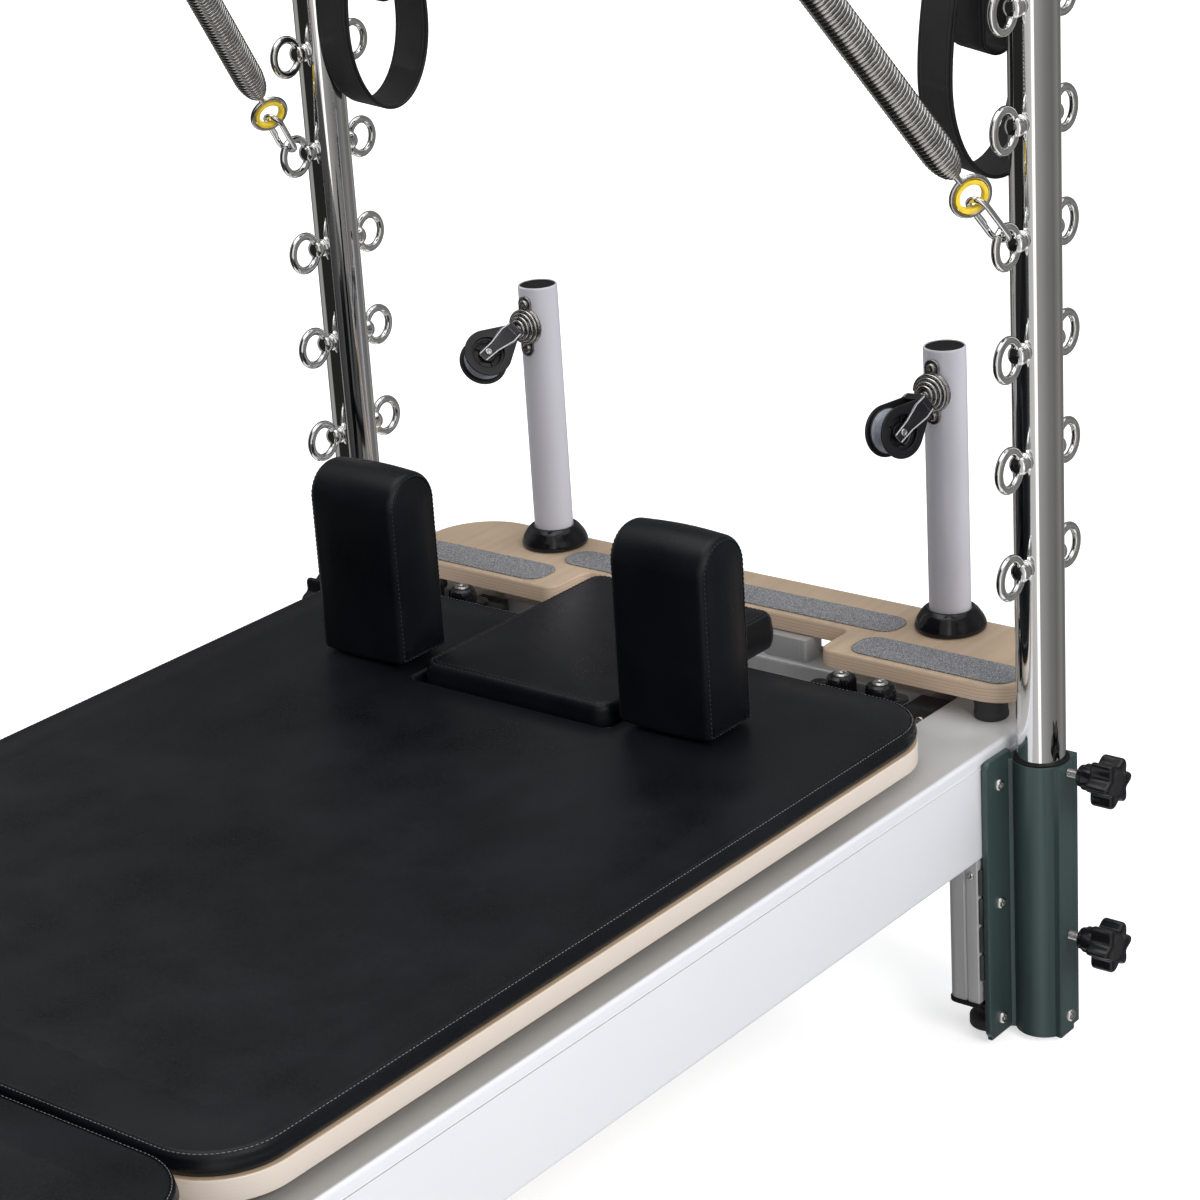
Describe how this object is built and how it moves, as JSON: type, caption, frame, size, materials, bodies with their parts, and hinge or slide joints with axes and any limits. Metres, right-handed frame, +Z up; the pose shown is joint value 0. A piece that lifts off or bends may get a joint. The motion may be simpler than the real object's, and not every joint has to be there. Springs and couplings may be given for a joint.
{
  "type": "pilates tower unit",
  "caption": "Low reformer bed with a rolling padded carriage, pulley posts and a bent chrome tower carrying a swinging push-through bar, springs and webbing loops.",
  "frame": {"origin": "middle of the whole machine's footprint, on the floor", "axes": "+X toward the head end with the tower, +Y to the left of someone lying with the head at the tower, +Z up"},
  "size_m": [2.441, 0.874, 1.919],
  "materials": {
    "chrome_tube": "polished",
    "white_powder": "fine satin powder coat",
    "birch_ply": "clear lacquered ply with bare edges",
    "black_vinyl": "matte upholstery vinyl with pale stitching",
    "green_anodised": "dark green anodised, extruded",
    "grip_strip": "speckled grit",
    "black_plastic": "gloss",
    "block_black": "moulded satin",
    "black_rubber": "matte",
    "steel": "bright zinc plate",
    "grey_aluminium": "satin, extruded",
    "sheave_grey": "satin",
    "yellow_plastic": "moulded",
    "webbing": "woven webbing, doubled and stitched"
  },
  "bodies": {
    "bed": {"side_beam_right": "white_powder", "side_beam_left": "white_powder", "head_crossbeam": "grey_aluminium", "foot_crossbeam": "grey_aluminium", "leg_head_right": "grey_aluminium", "leg_head_left": "grey_aluminium", "leg_foot_right": "grey_aluminium", "leg_foot_left": "grey_aluminium", "head_platform": "birch_ply", "grip_middle": "grip_strip", "grip_ear_right": "grip_strip", "grip_ear_left": "grip_strip", "foot_deck": "birch_ply", "platform_spacer_right": "black_rubber", "platform_spacer_left": "black_rubber", "bumper_right": "black_rubber", "bumper_left": "black_rubber", "post_right": "white_powder", "post_left": "white_powder", "post_cap_right": "black_plastic", "post_cap_left": "black_plastic", "post_collar_right": "black_plastic", "post_collar_left": "black_plastic", "eye_plate_right": "steel", "eye_plate_left": "steel", "tower_clamp_right": "green_anodised", "tower_clamp_left": "green_anodised", "clamp_shim_right": "black_rubber", "clamp_shim_left": "black_rubber"},
    "tower": {"tower_frame": "chrome_tube", "tower_spring_right": "steel", "tower_spring_left": "steel", "spring_bush_right": "yellow_plastic", "spring_bush_left": "yellow_plastic", "snap_hook_right": "steel", "snap_hook_left": "steel"},
    "bar": {"push_bar": "chrome_tube"},
    "strap_r": {"strap_right": "webbing"},
    "strap_l": {"strap_left": "webbing"},
    "block_r": {"pulley_block_right": "block_black"},
    "block_l": {"pulley_block_left": "block_black"},
    "sheave_r": {"pulley_sheave_right": "sheave_grey"},
    "sheave_l": {"pulley_sheave_left": "sheave_grey"},
    "knob_upper_r": {"knob_upper_right": "black_plastic"},
    "knob_upper_l": {"knob_upper_left": "black_plastic"},
    "knob_lower_r": {"knob_lower_right": "black_plastic"},
    "knob_lower_l": {"knob_lower_left": "black_plastic"},
    "carriage": {"carriage_board": "birch_ply", "carriage_pad": "black_vinyl", "shoulder_rest_right": "black_vinyl", "shoulder_rest_left": "black_vinyl", "cam_cleat_right": "block_black", "cam_cleat_left": "block_black", "carriage_truck": "grey_aluminium", "mat_board": "birch_ply", "mat_pad": "black_vinyl"},
    "headrest_pad": {"headrest": "black_vinyl"},
    "wheels_head": {"wheelset_head": "steel"},
    "wheels_foot": {"wheelset_foot": "steel"},
    "footbar_arm": {"footbar": "steel"}
  },
  "joints": [
    {"name": "carriage_slide", "type": "slide", "parent": "bed", "child": "carriage", "axis": [1, 0, 0], "range_m": [-0.42, 0.025]},
    {"name": "wheels_head_roll", "type": "hinge", "parent": "carriage", "child": "wheels_head", "pos_m": [0.9185, 0, 0.2363], "axis": [0, 1, 0], "range_deg": [-1100, 70]},
    {"name": "wheels_foot_roll", "type": "hinge", "parent": "carriage", "child": "wheels_foot", "pos_m": [0.2985, 0, 0.2363], "axis": [0, 1, 0], "range_deg": [-1100, 70]},
    {"name": "headrest_tilt", "type": "hinge", "parent": "carriage", "child": "headrest_pad", "pos_m": [0.8605, 0, 0.311], "axis": [0, -1, 0], "range_deg": [0, 45]},
    {"name": "tower_lift", "type": "slide", "parent": "bed", "child": "tower", "axis": [0, 0, 1], "range_m": [0, 0.15]},
    {"name": "bar_swing", "type": "hinge", "parent": "tower", "child": "bar", "pos_m": [1.0885, 0, 1.89], "axis": [0, 1, 0], "range_deg": [-80, 75], "deforming": ["tower_spring_right", "tower_spring_left"]},
    {"name": "strap_right_swing", "type": "hinge", "parent": "tower", "child": "strap_r", "pos_m": [1.0885, -0.315, 1.1345], "axis": [0, 1, 0], "range_deg": [-20, 12]},
    {"name": "strap_left_swing", "type": "hinge", "parent": "tower", "child": "strap_l", "pos_m": [1.0885, 0.315, 1.1345], "axis": [0, 1, 0], "range_deg": [-20, 12]},
    {"name": "block_right_swivel", "type": "hinge", "parent": "bed", "child": "block_r", "pos_m": [1.15462, -0.217, 0.5145], "axis": [-0.8355, 0.1694, -0.5227], "range_deg": [-90, 90]},
    {"name": "block_left_swivel", "type": "hinge", "parent": "bed", "child": "block_l", "pos_m": [1.15501, 0.217, 0.5145], "axis": [-0.8949, 0.1814, -0.4078], "range_deg": [-90, 90]},
    {"name": "sheave_right_spin", "type": "hinge", "parent": "block_r", "child": "sheave_r", "pos_m": [1.1212, -0.21022, 0.49359], "axis": [-0.2939, -0.9415, 0.1647], "continuous": true},
    {"name": "sheave_left_spin", "type": "hinge", "parent": "block_l", "child": "sheave_l", "pos_m": [1.11922, 0.22426, 0.49819], "axis": [-0.4125, -0.6851, 0.6004], "continuous": true},
    {"name": "knob_upper_right_turn", "type": "hinge", "parent": "bed", "child": "knob_upper_r", "pos_m": [1.0885, -0.4, 0.24191], "axis": [0, -1, 0], "range_deg": [0, 720]},
    {"name": "knob_upper_left_turn", "type": "hinge", "parent": "bed", "child": "knob_upper_l", "pos_m": [1.0885, 0.4, 0.24191], "axis": [0, 1, 0], "range_deg": [0, 720]},
    {"name": "knob_lower_right_turn", "type": "hinge", "parent": "bed", "child": "knob_lower_r", "pos_m": [1.0885, -0.4, 0.09589], "axis": [0, -1, 0], "range_deg": [0, 720]},
    {"name": "knob_lower_left_turn", "type": "hinge", "parent": "bed", "child": "knob_lower_l", "pos_m": [1.0885, 0.4, 0.09589], "axis": [0, 1, 0], "range_deg": [0, 720]},
    {"name": "footbar_lift", "type": "hinge", "parent": "bed", "child": "footbar_arm", "pos_m": [-0.7715, 0, 0.24], "axis": [0, 1, 0], "range_deg": [0, 115]}
  ],
  "couplings": [
    {"joint": "wheels_head_roll", "follows": "carriage_slide", "rad_per_m": 45.455},
    {"joint": "wheels_foot_roll", "follows": "carriage_slide", "rad_per_m": 45.455}
  ]
}
